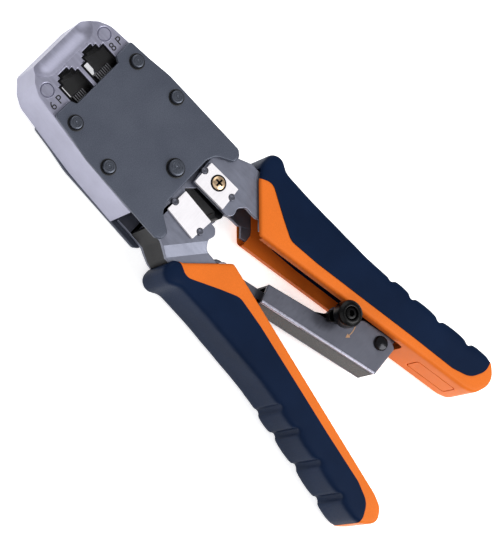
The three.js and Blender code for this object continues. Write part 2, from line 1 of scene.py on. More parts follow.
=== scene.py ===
"""Ratchet crimping tool with two-colour grips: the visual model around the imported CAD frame.

Lengths in the tables below are millimetres and MM turns them into Blender's metres. Heights called
"z" in the tables are measured from the tool's mid-plane, which is the height of the handle hinge.
"""

import json
import math

import bmesh
import bpy
from mathutils import Matrix, Vector


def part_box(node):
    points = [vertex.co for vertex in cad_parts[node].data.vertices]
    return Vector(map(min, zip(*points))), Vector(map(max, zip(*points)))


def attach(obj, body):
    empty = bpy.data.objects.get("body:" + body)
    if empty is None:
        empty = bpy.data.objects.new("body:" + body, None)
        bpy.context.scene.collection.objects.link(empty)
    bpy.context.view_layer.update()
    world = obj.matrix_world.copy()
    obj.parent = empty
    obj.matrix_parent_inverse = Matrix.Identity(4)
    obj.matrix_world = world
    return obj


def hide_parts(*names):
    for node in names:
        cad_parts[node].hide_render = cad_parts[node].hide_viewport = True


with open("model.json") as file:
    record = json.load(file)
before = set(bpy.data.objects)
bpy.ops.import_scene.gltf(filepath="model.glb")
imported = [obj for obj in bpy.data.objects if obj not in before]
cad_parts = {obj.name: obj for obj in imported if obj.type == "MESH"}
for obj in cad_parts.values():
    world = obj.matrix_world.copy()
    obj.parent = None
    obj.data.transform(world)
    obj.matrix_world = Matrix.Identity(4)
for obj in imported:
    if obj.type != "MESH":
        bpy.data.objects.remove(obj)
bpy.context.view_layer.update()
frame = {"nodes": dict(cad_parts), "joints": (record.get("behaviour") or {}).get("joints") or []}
JOINTS = {joint["name"]: joint for joint in frame["joints"]}

MM = 0.001
MID = JOINTS["handle_hinge"]["pos_m"][2] / MM
LINK_PIN = [value / MM for value in JOINTS["box_hinge"]["pos_m"][:2]]
KNOB = [value / MM for value in JOINTS["release_hinge"]["pos_m"][:2]]
SLIDE = Vector(JOINTS["bar_travel"]["axis"][:2]).normalized()
SLIDE_SIDE = Vector((-SLIDE.y, SLIDE.x))

# Heights of the sheet-metal layers, from the mid-plane.
COVER_TOP = 12.4
COVER_BOTTOM = 10.6
FRAME_HALF = 10.5
ARM_TOP = 10.3
ARM_BOTTOM = 8.3
CHANNEL_TOP = 9.6
CHANNEL_BOTTOM = 7.9
GRIP_HALF = 12
SLOT_HALF = 7.5
BOX_TOP = 7
BLADE_TOP = 11.6

# Radii of round features.
PIVOT_EYE = 3.1
PIVOT_HEAD = 3.4
PIVOT_SHANK = 2.8
RIVET_HEAD = 2.65
RIVET_SHANK = 1.5
RIVET_HOLE = 1.8
DOWEL_RADIUS = 2.75
DOWEL_HOLE = 2.85
BLADE_PIN = 1.4
BLADE_PIN_SEAT = 1.65

POCKET_BOTTOM = 43.6
NEST_BOTTOM = 46

# Outlines as (x, y, corner radius).
FRAME_SIDE = [
    (14.3, 67.4, 2), (19.4, 62.6, 4), (22, 58, 8), (24.3, 37.5, 20), (25.6, 26, 20),
    (26.6, 0.3, 0.3), (19, 0.3, 0.3), (19, 24, 3), (15.6, 29, 3), (15.6, POCKET_BOTTOM, 0.5),
]
POCKETS = ((14.2, 0.5), (-1.4, -13))
NEST_WALL = 0.9
PLUG_SEAT_Y = 54.2
LATCH_STEPS = ((3.4, 56.2), (1.7, 57.6))
COVER_SIDE = [
    (12.6, 45.7, 0.8), (13.9, 48.3, 1), (23, 48.5, 1.6), (24.2, 38, 30), (25.9, 27.6, 30),
    (26.8, -13.4, 2.2), (24.6, -15.9, 2.2), (21.4, -15.7, 2), (17, -8.6, 6), (12.6, -7, 5),
]
COVER_RIVETS = {"upper": (18.9, 40.8), "lower": (21.3, 19.5)}
DOWEL = (17.4, 57.4)
SCOOP_HALF = 9.8
SCOOP_RADIUS = 9.3
SCOOP_Y = 67
SCOOP_RISE = 5.9
NECK = [
    (2.9, -9.3, 0.6), (13, -8, 0.6), (24.5, -8, 0.6), (24.8, -16, 2), (28.1, -22.5, 2),
    (28.8, -31, 0.6), (16, -43.5, 0.6), (13.1, -38.5, 1.5), (12.8, -32.4, 3), (9.5, -29.9, 2),
    (5.9, -31, 2.4), (3.6, -28.6, 2.2), (3.6, -25.7, 0.4),
]
NECK_WEB = [
    (24.5, -9, 0), (24.8, -16, 3), (28.1, -22.5, 3), (28.8, -31, 0), (27, -31, 0),
    (26.2, -23, 2), (22.9, -16.4, 2), (22.6, -9, 0),
]
CHANNEL = [
    (10.4, -42.9, 0), (25.5, -29.3, 0), (28.9, -29.5, 0), (30.4, -45, 4), (31.8, -83, 9), (33.6, -104, 9),
    (35.8, -124, 0), (29.6, -124, 0),
]
CHANNEL_WEB = [
    (27, -29.6, 0), (28.9, -29.5, 0), (30.4, -45, 4), (31.8, -83, 9), (33.6, -104, 9), (35.8, -124, 0),
    (33.8, -124, 0), (31.6, -104, 9), (29.8, -83, 9), (28.4, -45, 4),
]
GRIP_INNER = [(33.2, -157.2, 6), (30.9, -151.6, 8), (8.3, -44, 0.8), (24.6, -28.6, 0.5)]
GRIP_OUTER = [
    (30.8, -24.2, 3), (37.6, -24.2, 4), (40, -29.5, 3.6), (36.6, -34.6, 3.5), (36.7, -50, 20),
    (38.4, -84, 20), (40, -97.4, 0.5), (41.6, -109.2, 0.5), (44, -124.6, 0.5), (46.9, -140.8, 0.5),
    (50, -153.6, 7), (43, -160.8, 8),
]
FIXED_GRIP_SLIMMER = 4
FINGER_GROOVES = range(6, 10)
FINGER_BULGE = 1.05
GROOVE_RADIUS = 1.7
GROOVE_DEPTH = 1.1
COLOUR_LINE = [
    (25.3, -23, 0), (25.7, -28.2, 2), (28.4, -33.2, 6), (21.2, -46.4, 10), (16.9, -55, 7), (18.9, -69.4, 10),
    (23.8, -94, 20), (29, -119.7, 20), (33.2, -142.5, 8), (36.6, -151, 8), (43.5, -154.4, 8), (56, -152.6, 0),
]
# The hollow that each grip leaves round the neck plates, and the slot for the ratchet link.
NECK_HOLLOW = [(-6, -47), (14, -45.2), (16, -43.9), (29.2, -31.2), (29.4, -18), (-6, -18)]
NECK_CLEARANCE = 0.12
SLOT_TOP = -44
SLOT_DEPTH_AT_TOP = 16.3
SLOT_SLANT = 0.21
SLOT_ENDS = {"fixed": -104, "moving": -121.6}
# The frame-shaped groove near the end of the orange shell's inner face.
RECESS_ALONG = 99.5
RECESS_HALF_LENGTH = 10.5
RECESS_HALF_WIDTH = 5.2
RECESS_LINE = 0.45
# Where the neck plates step inwards: distance along the neck and length of the slope, for each side.
JOGGLE = {-1: (-30, 4.8), 1: (-33, 3.4)}
JOGGLE_DEPTH = 0.8
JOGGLE_ACROSS = (0.6, 0.8)
# The sheet-steel ends of the arms inside the head.
ROOT = [
    (-24.4, -10, 0), (-24.4, -0.6, 1), (-17, -0.6, 3), (-4, 7, 5), (3, 7, 5), (6, 1, 4),
    (-2.9, -10, 0),
]
CRANK = [
    (3.4, -12.6, 0), (22, -12.6, 1), (22, -8.8, 1), (7, 7, 5), (-4, 8, 5), (-13.6, 9, 3.8),
    (-18.2, 4, 3.8), (-6.4, -3.6, 3),
]
CRANK_TOP = 8
CRANK_BOTTOM = 6.1
SHOULDER = [(3.4, -9.2, 0.4), (22.4, -9.2, 0.4), (22.4, -13, 0.4), (4, -13, 0.4)]
LUG_REACH = 33.4
BLADE = [(2.9, -9.5, 0.3), (14, -9.1, 0.3), (14.9, -24.6, 0.3), (3.7, -25.5, 0.3)]
BLADE_PINS = {"upper": (9.4, -9.3), "lower": (10.3, -25)}
BLADE_SCREW = (10.1, -16.9)
BOX = [
    (-1.2, -61.2, 0.5), (7.5, -88.4, 3), (20, -101.6, 3), (23.4, -114.6, 2.5), (21.6, -119.4, 1.5),
    (6.6, -120, 1), (-9.2, -63.8, 0.5),
]
# The left edge of the box, along which its side wall is folded.
BOX_FOLD = ((-8.6, -63.8), (7.1, -119.4))
BOX_PLATE = 1.5
# Outline of a near-black strip across the mouth of the box: painted shade of its inside.
BOX_MOUTH_SHADE = [(-2.4, -61.8, 0.2), (-1.3, -61.4, 0.2), (4.1, -78.2, 0.2), (3, -78.6, 0.2)]
BAR_PIN = (-11.9, -42)
BAR_LENGTH = 47
BAR_HALF_WIDTH = 2.3


# ---------------------------------------------------------------- geometry helpers
def mirrored(points):
    return [(-x, y, *rest) for x, y, *rest in reversed(points)]


def for_side(points, side):
    return list(points) if side > 0 else mirrored(points)


def rounded(points, steps=6):
    """The outline with an arc of the given radius at each corner."""
    path = []
    corners = [Vector(p[:2]) for p in points]
    for i, (here, point) in enumerate(zip(corners, points)):
        radius = point[2] if len(point) > 2 else 0
        before = corners[i - 1] - here
        after = corners[(i + 1) % len(corners)] - here
        turn = before.angle(after)
        if radius <= 0 or turn > math.pi - 0.02:
            path.append(here)
            continue
        reach = min(radius / math.tan(turn / 2), 0.48 * before.length, 0.48 * after.length)
        radius = reach * math.tan(turn / 2)
        start = here + before.normalized() * reach
        end = here + after.normalized() * reach
        inward = (before.normalized() + after.normalized()).normalized()
        centre = here + inward * (radius / math.sin(turn / 2))
        first = start - centre
        sweep = first.angle_signed(end - centre)
        for k in range(steps + 1):
            path.append(centre + Matrix.Rotation(-sweep * k / steps, 2) @ first)
    return path


def circle(x, y, radius, count=40):
    angles = [math.tau * k / count for k in range(count)]
    return [Vector((x + radius * math.cos(a), y + radius * math.sin(a))) for a in angles]


def link(mesh_or_curve, name):
    obj = bpy.data.objects.new(name, mesh_or_curve)
    bpy.context.scene.collection.objects.link(obj)
    return obj


def baked(obj, name):
    """A new mesh object with obj's curve or modifiers turned into plain geometry; obj is removed."""
    bpy.context.view_layer.update()
    evaluated = obj.evaluated_get(bpy.context.evaluated_depsgraph_get())
    mesh = bpy.data.meshes.new_from_object(evaluated)
    matrix = obj.matrix_world.copy()
    bpy.data.objects.remove(obj)
    mesh.name = name
    result = link(mesh, name)
    result.matrix_world = matrix
    return result


def weld(obj, distance=0.002):
    work = bmesh.new()
    work.from_mesh(obj.data)
    bmesh.ops.remove_doubles(work, verts=work.verts, dist=distance * MM)
    bmesh.ops.dissolve_degenerate(work, dist=1e-7, edges=work.edges)
    bmesh.ops.recalc_face_normals(work, faces=work.faces)
    work.to_mesh(obj.data)
    work.free()
    return obj


def plate(name, loops, low, high, edge=0.25, steps=2):
    """A flat piece between two heights with rounded edges; loops after the first are holes."""
    curve = bpy.data.curves.new(name, "CURVE")
    curve.dimensions = "2D"
    curve.fill_mode = "BOTH"
    curve.bevel_depth = edge * MM
    curve.bevel_resolution = steps
    curve.offset = -edge * MM
    curve.extrude = ((high - low) / 2 - edge) * MM
    for loop in loops:
        spline = curve.splines.new("POLY")
        spline.points.add(len(loop) - 1)
        for point, target in zip(spline.points, loop):
            point.co = (target.x * MM, target.y * MM, 0, 1)
        spline.use_cyclic_u = True
    obj = link(curve, name + "_outline")
    obj.location.z = (MID + (low + high) / 2) * MM
    result = baked(obj, name)
    result.data.transform(result.matrix_world)
    result.matrix_world = Matrix.Identity(4)
    return weld(result)


def turned(name, x, y, profile, segments=48):
    """A round piece turned from (radius, height) pairs, with heights from the mid-plane."""
    work = bmesh.new()
    rings = []
    for radius, height in profile:
        if radius <= 1e-6:
            rings.append([work.verts.new((0, 0, height * MM))])
            continue
        rings.append([
            work.verts.new((radius * MM * math.cos(math.tau * k / segments),
                            radius * MM * math.sin(math.tau * k / segments), height * MM))
            for k in range(segments)
        ])
    for lower, upper in zip(rings, rings[1:]):
        for k in range(segments):
            n = (k + 1) % segments
            if len(lower) == 1 and len(upper) > 1:
                work.faces.new((lower[0], upper[n], upper[k]))
            elif len(upper) == 1 and len(lower) > 1:
                work.faces.new((lower[k], lower[n], upper[0]))
            elif len(lower) > 1:
                work.faces.new((lower[k], lower[n], upper[n], upper[k]))
    bmesh.ops.recalc_face_normals(work, faces=work.faces)
    mesh = bpy.data.meshes.new(name)
    work.to_mesh(mesh)
    work.free()
    obj = link(mesh, name)
    obj.data.transform(Matrix.Translation((x * MM, y * MM, MID * MM)))
    return obj


def joined(name, *objs):
    """Several meshes as the shells of one piece."""
    work = bmesh.new()
    for obj in objs:
        obj.data.transform(obj.matrix_world)
        work.from_mesh(obj.data)
        bpy.data.objects.remove(obj)
    mesh = bpy.data.meshes.new(name)
    work.to_mesh(mesh)
    work.free()
    return link(mesh, name)


def boolean(obj, other, operation):
    modifier = obj.modifiers.new("cut", "BOOLEAN")
    modifier.operation = operation
    modifier.solver = "MANIFOLD"
    modifier.object = other
    result = baked(obj, obj.name.split(".")[0])
    bpy.data.objects.remove(other)
    return result


def cut(obj, *others):
    for other in others:
        obj = boolean(obj, other, "DIFFERENCE")
    return obj


def prism(name, points, low, high):
    return plate(name, [[Vector(p[:2]) for p in points]], low, high, edge=0)


def tube(name, points, radius, cyclic=False, resolution=6):
    """A wire of round section through the points, which are (x, y, z) from the mid-plane."""
    curve = bpy.data.curves.new(name, "CURVE")
    curve.dimensions = "3D"
    curve.bevel_depth = radius * MM
    curve.bevel_resolution = resolution
    curve.use_fill_caps = True
    spline = curve.splines.new("NURBS")
    spline.points.add(len(points) - 1)
    for point, (x, y, z) in zip(spline.points, points):
        point.co = (x * MM, y * MM, (MID + z) * MM, 1)
    spline.use_endpoint_u = True
    spline.use_cyclic_u = cyclic
    spline.order_u = 4
    spline.resolution_u = 4
    return baked(link(curve, name + "_path"), name)


def smooth(obj, angle=30):
    for polygon in obj.data.polygons:
        polygon.use_smooth = True
    obj.data.set_sharp_from_angle(angle=math.radians(angle))
    return obj


def finish_piece(obj, body, slot, material, *nodes, angle=30):
    """Shading, material, body and the CAD nodes that the piece stands for; the slot argument is not used."""
    smooth(obj, angle)
    obj.modifiers.new("normals", "WEIGHTED_NORMAL").keep_sharp = True
    obj.data.materials.clear()
    obj.data.materials.append(material)
    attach(obj, body)
    if nodes:
        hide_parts(*nodes)
    return obj


# ---------------------------------------------------------------- materials
# Texture scale at which one unit of the pattern is one millimetre.
PER_MM = (1000, 1000, 1000)


def new_material(name):
    material = bpy.data.materials.new(name)
    material.use_nodes = True
    nodes = material.node_tree.nodes
    return material, nodes, material.node_tree.links, nodes["Principled BSDF"]


def object_coordinates(nodes, links, scale):
    coordinates = nodes.new("ShaderNodeTexCoord")
    mapping = nodes.new("ShaderNodeMapping")
    mapping.inputs["Scale"].default_value = scale
    links.new(coordinates.outputs["Object"], mapping.inputs["Vector"])
    return mapping.outputs["Vector"]


def noise(nodes, links, vector, scale, detail=4, roughness=0.55):
    texture = nodes.new("ShaderNodeTexNoise")
    texture.inputs["Scale"].default_value = scale
    texture.inputs["Detail"].default_value = detail
    texture.inputs["Roughness"].default_value = roughness
    links.new(vector, texture.inputs["Vector"])
    return texture.outputs["Fac"]


def ramp(nodes, links, source, stops):
    node = nodes.new("ShaderNodeValToRGB")
    elements = node.color_ramp.elements
    for i, (position, colour) in enumerate(stops):
        element = elements[i] if i < 2 else elements.new(position)
        element.position = position
        element.color = (*colour, 1)
    links.new(source, node.inputs["Fac"])
    return node.outputs["Color"]


def remap(nodes, links, source, low, high, start=0.3, end=0.7):
    node = nodes.new("ShaderNodeMapRange")
    node.inputs["From Min"].default_value = start
    node.inputs["From Max"].default_value = end
    node.inputs["To Min"].default_value = low
    node.inputs["To Max"].default_value = high
    links.new(source, node.inputs["Value"])
    return node.outputs["Result"]


def add_bump(nodes, links, shader, source, strength, distance_mm):
    bump = nodes.new("ShaderNodeBump")
    bump.inputs["Strength"].default_value = strength
    bump.inputs["Distance"].default_value = distance_mm * MM
    links.new(source, bump.inputs["Height"])
    links.new(bump.outputs["Normal"], shader.inputs["Normal"])


def shade(colour, factor):
    return tuple(min(1, max(0, c * factor)) for c in colour)


def satin_metal(name, colour, roughness, metallic, grain=(900, 60, 900), strength=0.12, spread=0.1):
    """Brushed or ground metal: a stretched grain moves the colour, the gloss and a fine bump."""
    material, nodes, links, shader = new_material(name)
    shader.inputs["Metallic"].default_value = metallic
    vector = object_coordinates(nodes, links, grain)
    streaks = noise(nodes, links, vector, 1.6, detail=6, roughness=0.65)
    clouds = noise(nodes, links, object_coordinates(nodes, links, (90, 90, 90)), 1.0, detail=3)
    mixed = nodes.new("ShaderNodeMath")
    mixed.operation = "ADD"
    links.new(streaks, mixed.inputs[0])
    links.new(clouds, mixed.inputs[1])
    halved = nodes.new("ShaderNodeMath")
    halved.operation = "MULTIPLY"
    halved.inputs[1].default_value = 0.5
    links.new(mixed.outputs[0], halved.inputs[0])
    tone = ramp(nodes, links, halved.outputs[0], [
        (0.35, shade(colour, 1 - spread)), (0.65, shade(colour, 1 + spread)),
    ])
    links.new(tone, shader.inputs["Base Color"])
    links.new(remap(nodes, links, streaks, roughness - 0.06, roughness + 0.1), shader.inputs["Roughness"])
    add_bump(nodes, links, shader, streaks, strength, 0.02)
    return material


def speckled_paint(name, colour, roughness, metallic=0.35, strength=0.25):
    """Satin coating on steel with a fine dark and light speckle and an uneven gloss."""
    material, nodes, links, shader = new_material(name)
    shader.inputs["Metallic"].default_value = metallic
    per_mm = object_coordinates(nodes, links, PER_MM)
    fine = noise(nodes, links, per_mm, 2.6, detail=5, roughness=0.7)
    broad = noise(nodes, links, object_coordinates(nodes, links, (60, 60, 60)), 1.0, detail=3)
    tone = ramp(nodes, links, fine, [
        (0.32, shade(colour, 0.78)), (0.5, colour), (0.7, shade(colour, 1.28)),
    ])
    blend = nodes.new("ShaderNodeMix")
    blend.data_type = "RGBA"
    blend.blend_type = "MULTIPLY"
    blend.inputs["Factor"].default_value = 0.5
    links.new(tone, blend.inputs["A"])
    links.new(ramp(nodes, links, broad, [(0.3, (0.86, 0.87, 0.9)), (0.7, (1, 1, 1))]), blend.inputs["B"])
    links.new(blend.outputs["Result"], shader.inputs["Base Color"])
    links.new(remap(nodes, links, broad, roughness - 0.05, roughness + 0.07), shader.inputs["Roughness"])
    add_bump(nodes, links, shader, fine, strength, 0.03)
    return material


def moulded_plastic(name, colour, roughness, texture_mm=0.5, strength=0.2, spread=0.08, sheen=0.5):
    """Moulded plastic: a fine spark-eroded texture, with slow changes of tone and gloss."""
    material, nodes, links, shader = new_material(name)
    shader.inputs["Specular IOR Level"].default_value = sheen
    per_mm = object_coordinates(nodes, links, PER_MM)
    grain = noise(nodes, links, per_mm, 1 / texture_mm, detail=4)
    broad = noise(nodes, links, object_coordinates(nodes, links, (45, 45, 45)), 1.0, detail=3)
    tone = ramp(nodes, links, broad, [
        (0.3, shade(colour, 1 - spread)), (0.7, shade(colour, 1 + spread)),
    ])
    blend = nodes.new("ShaderNodeMix")
    blend.data_type = "RGBA"
    blend.blend_type = "MULTIPLY"
    blend.inputs["Factor"].default_value = 0.6
    links.new(tone, blend.inputs["A"])
    links.new(ramp(nodes, links, grain, [(0.3, (0.86, 0.86, 0.86)), (0.7, (1, 1, 1))]), blend.inputs["B"])
    links.new(blend.outputs["Result"], shader.inputs["Base Color"])
    links.new(remap(nodes, links, grain, roughness - 0.06, roughness + 0.08), shader.inputs["Roughness"])
    add_bump(nodes, links, shader, grain, strength, 0.04)
    return material


FRAME_STEEL = satin_metal("frame_steel", (0.35, 0.35, 0.44), 0.36, 0.65, spread=0.1)
COVER_GREY = speckled_paint("cover_grey", (0.092, 0.103, 0.135), 0.42)
RIVET_GREY = speckled_paint("rivet_grey", (0.1, 0.11, 0.135), 0.34, metallic=0.6, strength=0.12)
ARM_STEEL = satin_metal("arm_steel", (0.2, 0.21, 0.26), 0.4, 0.6, grain=(500, 90, 500))
# Near-black paint that stands for shade: on the arms' webs, the shaded sides of the steel channels, and in
# the rings round the rivet heads.
SHADE_BLACK = speckled_paint("arm_web", (0.008, 0.008, 0.01), 0.5, metallic=0.2)
# Bright steel, with its reflection of the white surroundings painted in as a near-white, mostly non-metallic
# base colour.
BRIGHT_BLADE_AND_REFLECTION = satin_metal("blade_steel", (0.82, 0.8, 0.83), 0.4, 0.3, grain=(80, 1200, 900), spread=0.04)
BRASS = satin_metal("brass_screw", (0.64, 0.48, 0.32), 0.28, 0.9, grain=(700, 700, 700))
PIN_STEEL = satin_metal("pin_steel", (0.5, 0.5, 0.56), 0.3, 0.85, grain=(700, 700, 700))
SPRING_STEEL = satin_metal("spring_steel", (0.3, 0.3, 0.32), 0.35, 0.9, grain=(600, 600, 600))
LINK_STEEL = satin_metal("link_steel", (0.108, 0.112, 0.138), 0.36, 0.6, grain=(160, 500, 500))
# A lighter copy of the link steel for the strip along the box's fold: a painted highlight on the bend.
FOLD_HIGHLIGHT_STEEL = satin_metal("fold_painted_highlight_steel", (0.42, 0.42, 0.5), 0.3, 0.7, grain=(160, 500, 500))
# Black paint of the dies, punches and pawl; also used as painted shade in the screw's cross recess, round the
# screw head and across the box's mouth.
BLACK_PAINT_AND_SHADE = speckled_paint("die_black", (0.01, 0.01, 0.012), 0.4, metallic=0.8)
PIN_BLACK = speckled_paint("link_pin_black", (0.02, 0.02, 0.024), 0.22, metallic=0.6, strength=0.06)
# Black moulded plastic of the knob, its screw and the lever; also laid on the box's steel side wall as
# painted shade.
BLACK_PLASTIC_AND_SHADE = moulded_plastic("knob_black", (0.0015, 0.0015, 0.002), 0.3, strength=0.1, sheen=0.25)
ORANGE = moulded_plastic("grip_orange", (0.72, 0.185, 0.028), 0.42, spread=0.05, sheen=0.14)
NAVY = moulded_plastic("grip_navy", (0.008, 0.019, 0.05), 0.42, spread=0.12, sheen=0.07)
INK = speckled_paint("size_mark_ink", (0.016, 0.016, 0.018), 0.6, metallic=0)
MARK_ORANGE = speckled_paint("mark_orange", (0.42, 0.25, 0.14), 0.6, metallic=0)


# ---------------------------------------------------------------- head
def stepped(outer, inner, larger, bottom):
    """The outline of a plug with its latch, larger all round, from the outer side to the inner."""
    middle = (outer + inner) / 2
    half = abs(outer - inner) / 2 - NEST_WALL
    steps = [(half, bottom)]
    lower = PLUG_SEAT_Y
    for width, top in LATCH_STEPS:
        steps += [(half, lower), (width, lower)]
        half, lower = width, top
    steps = [(half + larger, y + (0 if y == bottom else larger)) for half, y in steps]
    steps += [(half + larger, lower + larger)]
    right = [(middle + x, y, 0.15) for x, y in steps]
    left = [(middle - x, y, 0.15) for x, y in reversed(steps)]
    return right + left


def head_frame():
    """One E-shaped plate: a nose with two stepped die pockets, two walls and a scoop in front."""
    right = list(FRAME_SIDE)
    pockets = []
    for outer, inner in POCKETS:
        pockets += stepped(outer, inner, NEST_WALL, POCKET_BOTTOM)
    outline = rounded(right + pockets + mirrored(FRAME_SIDE), steps=5)
    holes = [circle(side * DOWEL[0], DOWEL[1], DOWEL_HOLE) for side in (1, -1)]
    body = plate("head_frame_v", [outline, *holes], -FRAME_HALF, FRAME_HALF, edge=0.5, steps=3)
    profile = [(0, -SCOOP_HALF - SCOOP_RADIUS)]
    for k in range(1, 13):
        angle = math.pi / 2 * (1 - k / 12)
        profile.append((SCOOP_RADIUS * math.cos(angle), -SCOOP_HALF - SCOOP_RADIUS * math.sin(angle)))
    profile += [(radius, -height) for radius, height in reversed(profile)]
    scoop = turned("scoop", 0, 0, profile, segments=96)
    scoop.data.transform(Matrix.Translation((0, 0, -MID * MM)))
    scoop.data.transform(Matrix.Rotation(math.pi / 2, 4, "Y"))
    scoop.data.transform(Matrix.Translation((0, SCOOP_Y * MM, (MID + FRAME_HALF + SCOOP_RISE) * MM)))
    finish_piece(cut(body, scoop), "head", "frame_steel", FRAME_STEEL, "head_frame", angle=25)
    for hand, side in (("left", -1), ("right", 1)):
        half = FRAME_HALF - 0.05
        dowel = turned("die_dowel_" + hand + "_v", side * DOWEL[0], DOWEL[1], [
            (0, -half), (DOWEL_RADIUS - 0.3, -half), (DOWEL_RADIUS, -half + 0.3),
            (DOWEL_RADIUS, half - 0.3), (DOWEL_RADIUS - 0.3, half), (0, half),
        ])
        finish_piece(dowel, "head", "pin_steel", FRAME_STEEL, "die_dowel_" + hand)


def covers():
    outline = rounded(COVER_SIDE + mirrored(COVER_SIDE), steps=8)
    holes = [circle(0, 0, PIVOT_EYE)]
    for x, y in COVER_RIVETS.values():
        holes += [circle(x, y, RIVET_HOLE), circle(-x, y, RIVET_HOLE)]
    for name, low, high in (
        ("front_cover", COVER_BOTTOM, COVER_TOP),
        ("back_cover", -COVER_TOP, -COVER_BOTTOM),
    ):
        cover = plate(name + "_v", [outline, *holes], low, high, edge=0.6, steps=3)
        finish_piece(cover, "head", "cover_grey", COVER_GREY, name)


def rivet(name, x, y, head, shank, front, back, node):
    """A head at each end of a shank: the front one has turned rings, with a near-black ring of painted shade
    round its foot.
    """
    under = COVER_TOP + 0.06
    piece = turned(name, x, y, [
        (0, -back), (head * 0.85, -back), (head, -back + 0.2), (head, -under), (shank, -under),
        (shank, under), (head, under), (head, front - 0.4), (head * 0.95, front - 0.12),
        (head * 0.84, front), (head * 0.68, front), (head * 0.64, front - 0.1),
        (head * 0.6, front), (head * 0.36, front), (head * 0.32, front - 0.1),
        (head * 0.28, front), (head * 0.1, front), (0, front - 0.15),
    ])
    finish_piece(piece, "head", "cover_grey_rivet", RIVET_GREY, node)
    # Painted shade: a near-black ring round the foot of the front head, on the cover.
    painted_shade_ring = turned(name + "_rim", x, y, [
        (head + 0.05, COVER_TOP - 0.05), (head + 0.75, COVER_TOP - 0.05),
        (head + 0.75, COVER_TOP + 0.1), (head + 0.4, COVER_TOP + 0.22),
        (head + 0.05, COVER_TOP + 0.1), (head + 0.05, COVER_TOP - 0.05),
    ])
    finish_piece(painted_shade_ring, "head", "cover_grey_rivet", SHADE_BLACK)


def rivets():
    low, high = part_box("main_pivot_rivet")
    front = high.z / MM - MID
    back = MID - low.z / MM
    rivet("main_pivot_v", 0, 0, PIVOT_HEAD, PIVOT_SHANK, front, back, "main_pivot_rivet")
    for spot, (x, y) in COVER_RIVETS.items():
        for hand, side in (("left", -1), ("right", 1)):
            node = f"{spot}_rivet_{hand}"
            low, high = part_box(node)
            front = high.z / MM - MID
            back = MID - low.z / MM
            rivet(node + "_v", side * x, y, RIVET_HEAD, RIVET_SHANK, front, back, node)


def die_nest(node, outer, inner):
    shell = stepped(outer, inner, NEST_WALL - 0.1, NEST_BOTTOM)
    opening = stepped(outer, inner, 0, NEST_BOTTOM)
    outline = rounded(shell + list(reversed(opening)), steps=3)
    half = FRAME_HALF - 0.25
    body = plate(node + "_v", [outline], -half, half, edge=0.12, steps=1)
    finish_piece(body, "head", "die_black", BLACK_PAINT_AND_SHADE, node)


def die_parts():
    die_nest("die_nest_8p", *POCKETS[0])
    die_nest("die_nest_6p", *POCKETS[1])
    for name in ("punch_8p", "punch_6p", "punch_slide", "cable_stop"):
        bevelled_node(name, BLACK_PAINT_AND_SHADE, 0.2)
    for name in ("contact_comb_8p", "contact_comb_6p"):
        bevelled_node(name, SPRING_STEEL, 0.06)


def bevelled_node(name, material, width):
    """A CAD node that keeps its shape, with softened edges and a finished material."""
    node = frame["nodes"][name]
    node.data.materials.clear()
    node.data.materials.append(material)
    bevel = node.modifiers.new("edges", "BEVEL")
    bevel.width = width * MM
    bevel.segments = 2
    bevel.limit_method = "ANGLE"
    bevel.angle_limit = math.radians(35)
    for polygon in node.data.polygons:
        polygon.use_smooth = True
    node.modifiers.new("normals", "WEIGHTED_NORMAL").keep_sharp = True


def size_marks():
    for text, x, y in (("8 P", 18.2, 51.4), ("6 P", -18.2, 51.4)):
        curve = bpy.data.curves.new("mark_" + text, "FONT")
        curve.body = text
        curve.size = 5 * MM
        curve.extrude = 0.03 * MM
        curve.align_x = "CENTER"
        curve.align_y = "CENTER"
        obj = link(curve, "mark_" + text + "_text")
        obj.location = (x * MM, y * MM, (MID + FRAME_HALF + 0.02) * MM)
        mark = baked(obj, "size_mark_" + text[0])
        mark.data.transform(mark.matrix_world)
        mark.matrix_world = Matrix.Identity(4)
        finish_piece(mark, "head", "die_black", INK)


# ---------------------------------------------------------------- arms
def joggle(obj, side):
    """Bends the neck plates inwards in a band that runs along the top of the grip."""
    across = Vector((-side * JOGGLE_ACROSS[0], JOGGLE_ACROSS[1], 0))
    top, width = JOGGLE[side]
    work = bmesh.new()
    work.from_mesh(obj.data)
    for distance in (top, top - width):
        geometry = work.verts[:] + work.edges[:] + work.faces[:]
        point = across * distance * MM
        bmesh.ops.bisect_plane(work, geom=geometry, plane_co=point, plane_no=across, dist=1e-7)
    for vertex in work.verts:
        along = across.dot(Vector((vertex.co.x, vertex.co.y, 0))) / MM
        share = min(1, max(0, (top - along) / width))
        outward = 1 if vertex.co.z > MID * MM else -1
        vertex.co.z -= outward * JOGGLE_DEPTH * MM * share
    work.to_mesh(obj.data)
    work.free()
    return obj


